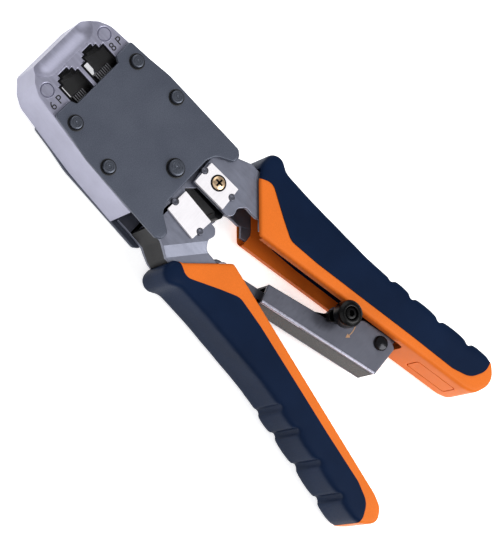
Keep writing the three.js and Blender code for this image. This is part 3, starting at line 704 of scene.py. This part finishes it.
def arm(hand, side, body, extra):
    """One arm: two neck plates, the two walls of the channel in the grip, and the web that joins them."""
    outline = rounded(for_side(NECK, side))
    front = plate("front", [outline], ARM_BOTTOM, ARM_TOP, edge=0.3)
    back = plate("back", [outline], -ARM_TOP, -ARM_BOTTOM, edge=0.3)
    necks = joggle(joined("necks", front, back), side)
    channel = rounded(for_side(CHANNEL, side))
    parts = [
        necks,
        plate("channel_front", [channel], CHANNEL_BOTTOM, CHANNEL_TOP, edge=0.2),
        plate("channel_back", [channel], -CHANNEL_TOP, -CHANNEL_BOTTOM, edge=0.2),
        *extra,
    ]
    plates = joined(hand + "_arm_v", *parts)
    finish_piece(plates, body, "arm_steel", ARM_STEEL, hand + "_arm", angle=6)
    neck_web = rounded(for_side(NECK_WEB, side))
    channel_web = rounded(for_side(CHANNEL_WEB, side))
    # The webs are the same steel as the plates, painted near-black as painted shade on the channels' shaded
    # sides.
    web = joined(
        hand + "_arm_web",
        plate("neck_web", [neck_web], -ARM_BOTTOM, ARM_BOTTOM, edge=0.2),
        plate("channel_web", [channel_web], -CHANNEL_BOTTOM, CHANNEL_BOTTOM, edge=0.2),
    )
    finish_piece(web, body, "arm_steel", SHADE_BLACK)


def lug_outline():
    """The block on the moving arm that holds the ratchet box's pin."""
    half = 4.9
    x, y = LINK_PIN
    return rounded([
        (x, y + 5, half), (LUG_REACH, y + 5, 0), (LUG_REACH, y - 5, 0),
        (x - half, y - 5, half), (x - half, y + 5, half),
    ])


def arm_pin(name, body):
    """A plain pin with chamfered ends."""
    low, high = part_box(name)
    centre = (low + high) / 2
    radius = (high.x - low.x) / 2 / MM
    half = (high.z - low.z) / 2 / MM
    pin = turned(name + "_v", centre.x / MM, centre.y / MM, [
        (0, -half), (radius - 0.3, -half), (radius, -half + 0.3),
        (radius, half - 0.3), (radius - 0.3, half), (0, half),
    ], segments=32)
    finish_piece(pin, body, "pin_steel", PIN_STEEL, name)


def arms():
    eye = circle(0, 0, PIVOT_EYE)
    root = [rounded(ROOT), eye]
    crank = [rounded(CRANK), eye]
    shoulder = [rounded(SHOULDER)]
    fixed = [
        plate("root", root, ARM_BOTTOM, ARM_TOP, edge=0.2),
        plate("root_back", root, -ARM_TOP, -ARM_BOTTOM, edge=0.2),
    ]
    arm("fixed", -1, "head", fixed)
    shoulder_top = ARM_TOP - 0.1
    shoulder_bottom = CRANK_BOTTOM + 0.1
    moving = [
        plate("crank", crank, CRANK_BOTTOM, CRANK_TOP, edge=0.2),
        plate("crank_back", crank, -CRANK_TOP, -CRANK_BOTTOM, edge=0.2),
        plate("shoulder", shoulder, shoulder_bottom, shoulder_top, edge=0.2),
        plate("shoulder_back", shoulder, -shoulder_top, -shoulder_bottom, edge=0.2),
        plate("lug", [lug_outline()], -4.6, 4.6, edge=0.4),
    ]
    arm("moving", 1, "moving_handle", moving)
    arm_pin("crank_pin", "moving_handle")
    arm_pin("bar_pin", "head")


# ---------------------------------------------------------------- blades
def blade(name, side, body):
    """A blade with two notches in its edges for the pins that locate it."""
    outline = rounded(for_side(BLADE, side), steps=3)
    blank = plate(name + "_v", [outline], ARM_TOP + 0.1, BLADE_TOP, edge=0.1)
    seat_profile = [(0, 9), (BLADE_PIN_SEAT, 9), (BLADE_PIN_SEAT, 13), (0, 13)]
    seats = [turned("seat", side * x, y, seat_profile) for x, y in BLADE_PINS.values()]
    blank = cut(blank, *seats)
    finish_piece(blank, body, "blade_steel", BRIGHT_BLADE_AND_REFLECTION, name, angle=20)
    for spot, (x, y) in BLADE_PINS.items():
        pin = turned(f"{name}_pin_{spot}_v", side * x, y, [
            (0, ARM_BOTTOM), (BLADE_PIN, ARM_BOTTOM), (BLADE_PIN, 11.1), (BLADE_PIN - 0.1, 11.4),
            (1, 11.55), (0.4, 11.5), (0, 11.42),
        ], segments=36)
        finish_piece(pin, body, "pin_steel", LINK_STEEL, f"{name}_pin_{spot}")


def blade_screw():
    """The brass screw of the cutting blade, with a cross recess, painted shadow in the recess and a ring of
    painted shade round the head.
    """
    x, y = BLADE_SCREW
    head = turned("cutting_blade_screw_v", x, y, [
        (0, 7), (1.4, 7), (1.5, BLADE_TOP + 0.05), (2.6, BLADE_TOP + 0.05),
        (2.85, BLADE_TOP + 0.25), (2.75, 12.1), (2.2, 12.4), (1.2, 12.55), (0, 12.6),
    ])
    slots = []
    shadows = []
    for long_x, long_y in ((1.8, 0.42), (0.42, 1.8)):
        corners = [
            (x - long_x, y - long_y), (x + long_x, y - long_y),
            (x + long_x, y + long_y), (x - long_x, y + long_y),
        ]
        slots.append(prism("slot", corners, 11.8, 13.2))
        shadows.append(prism("shadow", corners, 11.8, 12.2))
    finish_piece(cut(head, *slots), "moving_handle", "brass_screw", BRASS, "cutting_blade_screw")
    # Painted shadow: a dark fill at the bottom of the cross recess.
    finish_piece(joined("screw_recess_painted_shadow", *shadows), "moving_handle", "brass_screw", BLACK_PAINT_AND_SHADE)
    # Painted shade: a near-black ring round the foot of the screw head.
    rim = turned("screw_rim", x, y, [
        (2.9, BLADE_TOP - 0.1), (3.5, BLADE_TOP - 0.1), (3.45, BLADE_TOP + 0.12),
        (2.9, BLADE_TOP + 0.16), (2.9, BLADE_TOP - 0.1),
    ])
    finish_piece(rim, "moving_handle", "brass_screw", BLACK_PAINT_AND_SHADE)


def hidden_screw():
    """The stripping blade's screw, whose head is on the back."""
    x, y = BLADE_SCREW
    low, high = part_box("stripping_blade_screw")
    bottom = low.z / MM - MID
    top = high.z / MM - MID - 0.1
    screw = turned("stripping_blade_screw_v", -x, y, [
        (0, bottom), (2.5, bottom), (2.85, bottom + 0.3), (2.85, ARM_BOTTOM - 0.1),
        (1.45, ARM_BOTTOM - 0.1), (1.45, top), (0, top),
    ])
    finish_piece(screw, "head", "pin_steel", PIN_STEEL, "stripping_blade_screw")


# ---------------------------------------------------------------- grips
def outer_points(side):
    slimmer = FIXED_GRIP_SLIMMER if side < 0 else 0
    return [(x - slimmer, y, radius) for x, y, radius in GRIP_OUTER]


def grip_outline(side):
    """The grip seen from the front, with a bulge for each finger between the grooves."""
    outer = outer_points(side)
    points = list(GRIP_INNER)
    for i, point in enumerate(outer):
        points.append(point)
        if i not in FINGER_GROOVES:
            continue
        start = Vector(point[:2])
        end = Vector(outer[i + 1][:2])
        outward = Vector((start.y - end.y, end.x - start.x)).normalized()
        for share in (0.15, 0.3, 0.5, 0.7, 0.85) if i + 1 in FINGER_GROOVES else (0.15, 0.3):
            spot = start.lerp(end, share) + outward * FINGER_BULGE * math.sin(math.pi * share) ** 0.5
            points.append((spot.x, spot.y, 0))
    return rounded(for_side(points, side), steps=8)


def softened(obj, voxel, rounds):
    remesh = obj.modifiers.new("skin", "REMESH")
    remesh.mode = "VOXEL"
    remesh.voxel_size = voxel * MM
    soften = obj.modifiers.new("soften", "SMOOTH")
    soften.factor = 0.5
    soften.iterations = rounds
    return baked(obj, obj.name)


def soft_body(name, side, half, voxel, rounds, grooves):
    """A moulded form: the outline raised and softened, then finger grooves cut and softened."""
    body = softened(plate(name, [grip_outline(side)], -half, half, edge=1.2, steps=3), voxel, rounds)
    if not grooves:
        return body
    for i in FINGER_GROOVES:
        x, y = outer_points(side)[i][:2]
        reach = GRIP_HALF + 2
        profile = [(0, -reach), (GROOVE_RADIUS, -reach), (GROOVE_RADIUS, reach), (0, reach)]
        centre = side * (x + GROOVE_RADIUS - GROOVE_DEPTH)
        body = cut(body, turned("groove", centre, y, profile, segments=24))
    return softened(body, voxel, 6)


def recess_ring(side):
    """The shallow frame-shaped groove on the inner face of the orange shell, near its end."""
    loops = []
    for inset in (0, RECESS_LINE):
        a = RECESS_HALF_LENGTH - inset
        b = RECESS_HALF_WIDTH - inset
        loops.append(rounded([(-a, -b, 1.5), (a, -b, 1.5), (a, b, 1.5), (-a, b, 1.5)]))
    ring = plate("ring", loops, -0.7, 0.35, edge=0)
    ring.data.transform(Matrix.Translation((0, 0, -MID * MM)))
    top, end = (Vector(GRIP_INNER[i][:2]) for i in (2, 1))
    along = (end - top).normalized()
    middle = top + along * RECESS_ALONG
    frame_x = Vector((side * along.x, along.y, 0))
    frame_z = Vector((side * along.y, -along.x, 0))
    frame_y = frame_z.cross(frame_x)
    turn = Matrix((frame_x, frame_y, frame_z)).transposed().to_4x4()
    place = Vector((side * middle.x * MM, middle.y * MM, MID * MM))
    ring.data.transform(Matrix.Translation(place) @ turn)
    return ring


def grip(hand, side, body_name):
    """The navy and the orange shell of one grip, hollowed for the steel arm and for the ratchet link."""
    voxel = 0.6
    split = [*COLOUR_LINE, (56, -175, 0), (-10, -175, 0), (-10, -20, 0), (20, -20, 0)]
    # The channel's hollow runs a little past both of its ends.
    channel = []
    for x, y, _ in CHANNEL:
        past_end = 1.2 if y > -31 else -0.2 if y < -123 else 0
        channel.append((x, y + past_end, 0))
    web = [(x, y, 0) for x, y, _ in CHANNEL_WEB]
    neck = [(x, y, 0) for x, y in NECK_HOLLOW]
    neck_half = ARM_TOP + NECK_CLEARANCE
    end = SLOT_ENDS[hand]
    depth = SLOT_DEPTH_AT_TOP + SLOT_SLANT * (SLOT_TOP - end)
    slot = [(-12, -30, 0), (-12, end, 0), (depth, end, 5), (24, -30, 0)]
    for colour, material, half, rounds in (
        ("navy", NAVY, GRIP_HALF, 40),
        ("orange", ORANGE, GRIP_HALF - 0.35, 9),
    ):
        shell = soft_body(f"{hand}_grip_{colour}_v", side, half, voxel, rounds, colour == "navy")
        cutter = plate("split", [rounded(for_side(split, side), steps=8)], -20, 20, edge=0)
        shell = boolean(shell, cutter, "INTERSECT" if colour == "orange" else "DIFFERENCE")
        shell = cut(
            shell,
            *[prism("channel", for_side(channel, side), low, low + 2.1) for low in (-9.8, 7.7)],
            prism("web", for_side(web, side), -9, 9),
            prism("neck", for_side(neck, side), -neck_half, neck_half),
            plate("slot", [rounded(for_side(slot, side))], -SLOT_HALF, SLOT_HALF, edge=2),
        )
        if colour == "orange":
            shell = cut(shell, recess_ring(side))
        finish_piece(shell, body_name, "grip_" + colour, material, f"{hand}_grip_{colour}", angle=38)


# ---------------------------------------------------------------- ratchet link
def ratchet_box():
    outline = rounded(BOX)
    pin_hole = circle(*LINK_PIN, 2.3)
    knob_hole = circle(*KNOB, 2.6)
    inside = BOX_TOP - BOX_PLATE
    front = plate("front", [outline, pin_hole], inside, BOX_TOP, edge=0.35, steps=3)
    back = plate("back", [outline, pin_hole], -BOX_TOP, -inside, edge=0.35, steps=3)
    boss = plate("boss", [circle(*KNOB, 4.4), knob_hole], inside, BOX_TOP - 0.05, edge=0.3)
    box = joined("ratchet_box_v", front, back, boss)
    finish_piece(box, "ratchet_box_body", "link_steel", LINK_STEEL, "ratchet_box")
    start, end = (Vector(point) for point in BOX_FOLD)
    across = Vector((end - start).normalized().orthogonal())
    wall_low = -BOX_TOP + 0.1
    for name, material, half, low, top in (
        # Painted highlight: a strip of lighter steel along the fold of the box.
        ("box_fold_painted_highlight", FOLD_HIGHLIGHT_STEEL, 0.6, BOX_TOP - BOX_PLATE, BOX_TOP + 0.15),
        # Painted shade: the steel side wall of the box is given the black plastic.
        ("box_side_wall", BLACK_PLASTIC_AND_SHADE, 0.55, wall_low, BOX_TOP - 1.6),
    ):
        corners = [
            start - across * half, end - across * half,
            end + across * half, start + across * half,
        ]
        wall = plate(name, [corners], low, top, edge=0.25, steps=3)
        finish_piece(wall, "ratchet_box_body", "link_steel", material)
    # Painted shade: a near-black sheet across the box's mouth, between its two plates.
    mouth_shade = plate("box_mouth_painted_shade", [rounded(BOX_MOUTH_SHADE)], wall_low, BOX_TOP - 0.1, edge=0.2)
    finish_piece(mouth_shade, "ratchet_box_body", "link_steel", BLACK_PAINT_AND_SHADE)
    low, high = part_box("link_pin")
    top = high.z / MM - MID
    pin = turned("link_pin_v", *LINK_PIN, [
        (0, low.z / MM - MID), (1.9, low.z / MM - MID), (2, low.z / MM - MID + 0.2), (2, BOX_TOP + 0.3),
        (3.1, BOX_TOP + 0.3), (3.15, BOX_TOP + 0.6), (2.7, top - 0.35), (1.7, top - 0.08), (0, top),
    ])
    finish_piece(pin, "moving_handle", "die_black", PIN_BLACK, "link_pin")


def ratchet_bar():
    start = Vector(BAR_PIN)
    end = start + SLIDE * BAR_LENGTH
    side = SLIDE_SIDE * BAR_HALF_WIDTH
    teeth = []
    pitch = 2
    for i in range(9):
        base = start + SLIDE * (BAR_LENGTH - 3 - i * pitch)
        teeth += [base + SLIDE * 0.9 + side, base + side, base - SLIDE * 0.15 + side - SLIDE_SIDE * 0.9]
    outline = [end - side, end + side * 0.6, *teeth, start + SLIDE * 5 + side, start + SLIDE * 5 - side]
    blade = plate("blade", [outline], -2.5, 2.5, edge=0.12, steps=1)
    eye = plate("eye", [circle(*BAR_PIN, 4), circle(*BAR_PIN, 2.4)], -2.5, 2.5, edge=0.25)
    near = start + SLIDE * 3
    far = start + SLIDE * 8
    neck = plate("neck", [[near + side, near - side, far - side, far + side]], -2.5, 2.5, edge=0.12)
    bar = joined("ratchet_bar_v", blade, eye, neck)
    finish_piece(bar, "ratchet_bar_body", "link_steel", LINK_STEEL, "ratchet_bar")


def release_lever():
    x, y = KNOB
    low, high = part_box("release_knob")
    top = high.z / MM - MID
    bottom = low.z / MM - MID
    radius = (high.x - low.x) / 2 / MM
    knob = turned("release_knob_v", x, y, [
        (0, bottom), (radius - 1.6, bottom), (radius - 0.5, bottom + 0.5),
        (radius - 0.1, bottom + 1.4), (radius - 0.1, top - 1.8), (radius - 0.5, top - 0.9),
        (radius - 1.4, top - 0.25), (radius - 2.2, top), (2.9, top - 0.15),
        (2.75, top - 0.6), (2.75, top - 3.1), (0, top - 3.1),
    ], segments=64)
    finish_piece(knob, "release_lever_body", "knob_black", BLACK_PLASTIC_AND_SHADE, "release_knob")
    screw = turned("knob_screw_v", x, y, [
        (0, top - 3), (2.6, top - 3), (2.65, top - 1), (2.3, top - 0.6), (1.7, top - 0.45), (0, top - 0.45),
    ])
    hexagon = circle(x, y, 1.45, count=6)
    screw = cut(screw, prism("socket", hexagon, top - 2.2, top + 1))
    finish_piece(screw, "release_lever_body", "pin_steel", BLACK_PLASTIC_AND_SHADE, "knob_screw")
    stages = [(3.1, 7.5, 8.5), (3.45, 8.6, 9.9), (3.1, 10, 11), (3.45, 11.1, 12.5)]
    rings = []
    for r, low, high in stages:
        rings.append(turned("ring", x, y, [
            (2.3, low), (r - 0.3, low), (r, low + 0.3), (r, high - 0.3), (r - 0.3, high),
            (2.3, high), (2.3, low),
        ]))
    tail_corners = [
        (x - 3.6, y - 0.4, 1.5), (x - 5.6, y + 2.6, 1.6), (x - 2.4, y + 5.6, 1.6),
        (x + 0.6, y + 3.4, 1.5), (x + 0.6, y + 2.4, 0), (x - 2.4, y - 0.4, 0),
    ]
    tail = plate("tail", [rounded(tail_corners)], 7.5, 10.3, edge=0.6, steps=3)
    lever = joined("release_lever_v", *rings, tail)
    finish_piece(lever, "release_lever_body", "knob_black", BLACK_PLASTIC_AND_SHADE, "release_lever")
    pawl()


def pawl():
    """The finger that drops between the bar's teeth, on the knob's shaft."""
    x, y = KNOB
    tip = Vector(BAR_PIN) + SLIDE * 42 + SLIDE_SIDE * 3.4
    hub = Vector((x, y))
    toward = (tip - hub).normalized()
    off = Vector((-toward.y, toward.x))
    corners = [
        hub + off * 1.6, tip + off * 0.4 + toward * 0.4, tip - off * 0.9, hub - off * 1.6,
    ]
    finger = plate("finger", [corners], -2, 2, edge=0.15)
    shaft = turned("shaft", x, y, [
        (0, -4.8), (2.1, -4.8), (2.2, -4), (3, -4), (3, 4), (2.2, 4), (2.2, 12.9), (0, 12.9),
    ])
    piece = joined("pawl_v", finger, shaft)
    finish_piece(piece, "release_lever_body", "die_black", BLACK_PAINT_AND_SHADE, "pawl")


def direction_mark():
    """A plain curved arrow on the box beside the knob, which shows which way to turn it."""
    x, y = KNOB
    inner = 8.8
    outer = 9.2
    first, last = math.radians(-100), math.radians(-38)
    steps = 14
    angles = [first + (last - first) * k / steps for k in range(steps + 1)]
    arc = [Vector((x + outer * math.cos(a), y + outer * math.sin(a))) for a in angles]
    arc += [Vector((x + inner * math.cos(a), y + inner * math.sin(a))) for a in reversed(angles)]
    height = BOX_TOP + 0.01
    marks = [plate("arc", [arc], height, height + 0.04, edge=0)]
    for angle, way in ((first, -1), (last, 1)):
        middle = (inner + outer) / 2
        tip = angle + way * 0.22
        head = [
            Vector((x + (middle + 1) * math.cos(angle), y + (middle + 1) * math.sin(angle))),
            Vector((x + middle * math.cos(tip), y + middle * math.sin(tip))),
            Vector((x + (middle - 1) * math.cos(angle), y + (middle - 1) * math.sin(angle))),
        ]
        marks.append(plate("head", [head], height, height + 0.04, edge=0))
    mark = joined("direction_mark", *marks)
    finish_piece(mark, "ratchet_box_body", "grip_orange", MARK_ORANGE)


def springs():
    turns = 2.5
    radius = 5.4
    count = 48
    coil = []
    for i in range(count + 1):
        angle = i / count * turns * math.tau - math.pi / 2
        coil.append((radius * math.cos(angle), radius * math.sin(angle), -3 + 6 * i / count))
    wire = tube("return_spring_v", [(-5, -9.5, -3.2), *coil, (9, 9, 3.3)], 0.55)
    finish_piece(wire, "head", "spring_steel", SPRING_STEEL, "return_spring")
    low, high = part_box("pawl_spring")
    centre = (low + high) / 2 / MM
    length = (high.y - low.y) / MM - 0.6
    turns = 4
    radius = 1.2
    count = 64
    coil = []
    for i in range(count + 1):
        angle = i / count * turns * math.tau
        x = centre.x + radius * math.cos(angle)
        coil.append((x, centre.y + length / 2 - length * i / count, radius * math.sin(angle)))
    wire = tube("pawl_spring_v", coil, 0.25, resolution=3)
    finish_piece(wire, "ratchet_box_body", "spring_steel", SPRING_STEEL, "pawl_spring")


# ---------------------------------------------------------------- stage
def camera():
    """A long lens above the left of the head, turned so that the tool lies across the picture."""
    data = bpy.data.cameras.new("camera")
    data.sensor_width = 36
    data.lens = 153.5
    data.clip_start = 0.01
    data.clip_end = 20
    obj = link(data, "camera")
    right = Vector((0.612, -0.658, 0.438))
    up = Vector((0.671, 0.726, 0.152))
    back = right.cross(up).normalized()
    up = back.cross(right).normalized()
    place = Vector((-392.7, 135.2, 844.7)) * MM
    rotation = Matrix((right.normalized(), up, back)).transposed().to_4x4()
    obj.matrix_world = Matrix.Translation(place) @ rotation
    bpy.context.scene.camera = obj


def stage():
    """A pale floor and three soft lights."""
    size = 3.0
    mesh = bpy.data.meshes.new("floor")
    corners = [(-size, -size, 0), (size, -size, 0), (size, size, 0), (-size, size, 0)]
    mesh.from_pydata(corners, [], [(0, 1, 2, 3)])
    floor = link(mesh, "floor")
    floor.location.z = -0.3 * MM
    material, _, _, shader = new_material("pale_floor")
    shader.inputs["Base Color"].default_value = (0.93, 0.93, 0.93, 1)
    shader.inputs["Emission Color"].default_value = (1, 1, 1, 1)
    shader.inputs["Emission Strength"].default_value = 0.5
    shader.inputs["Roughness"].default_value = 0.9
    mesh.materials.append(material)
    for name, place, size, power in (
        ("key", (0.15, -0.75, 0.85), 0.7, 8),
        ("fill", (-0.7, 0.1, 0.9), 1.1, 3.2),
        ("rim", (0.6, 0.7, 0.7), 0.9, 3.6),
    ):
        light = bpy.data.lights.new(name, "AREA")
        light.size = size
        light.energy = power
        obj = link(light, name)
        obj.location = place
        obj.rotation_euler = (Vector((0, -0.04, 0)) - Vector(place)).to_track_quat("-Z", "Y").to_euler()
    world = bpy.data.worlds.new("studio")
    world.use_nodes = True
    background = world.node_tree.nodes["Background"]
    background.inputs["Color"].default_value = (1, 1, 1, 1)
    background.inputs["Strength"].default_value = 0.32
    scene = bpy.context.scene
    scene.world = world
    scene.view_settings.view_transform = "Standard"
    scene.view_settings.look = "Medium High Contrast"


camera()
stage()
head_frame()
covers()
rivets()
die_parts()
size_marks()
arms()
blade("stripping_blade", -1, "head")
blade("cutting_blade", 1, "moving_handle")
blade_screw()
hidden_screw()
grip("fixed", -1, "head")
grip("moving", 1, "moving_handle")
ratchet_box()
ratchet_bar()
release_lever()
direction_mark()
springs()
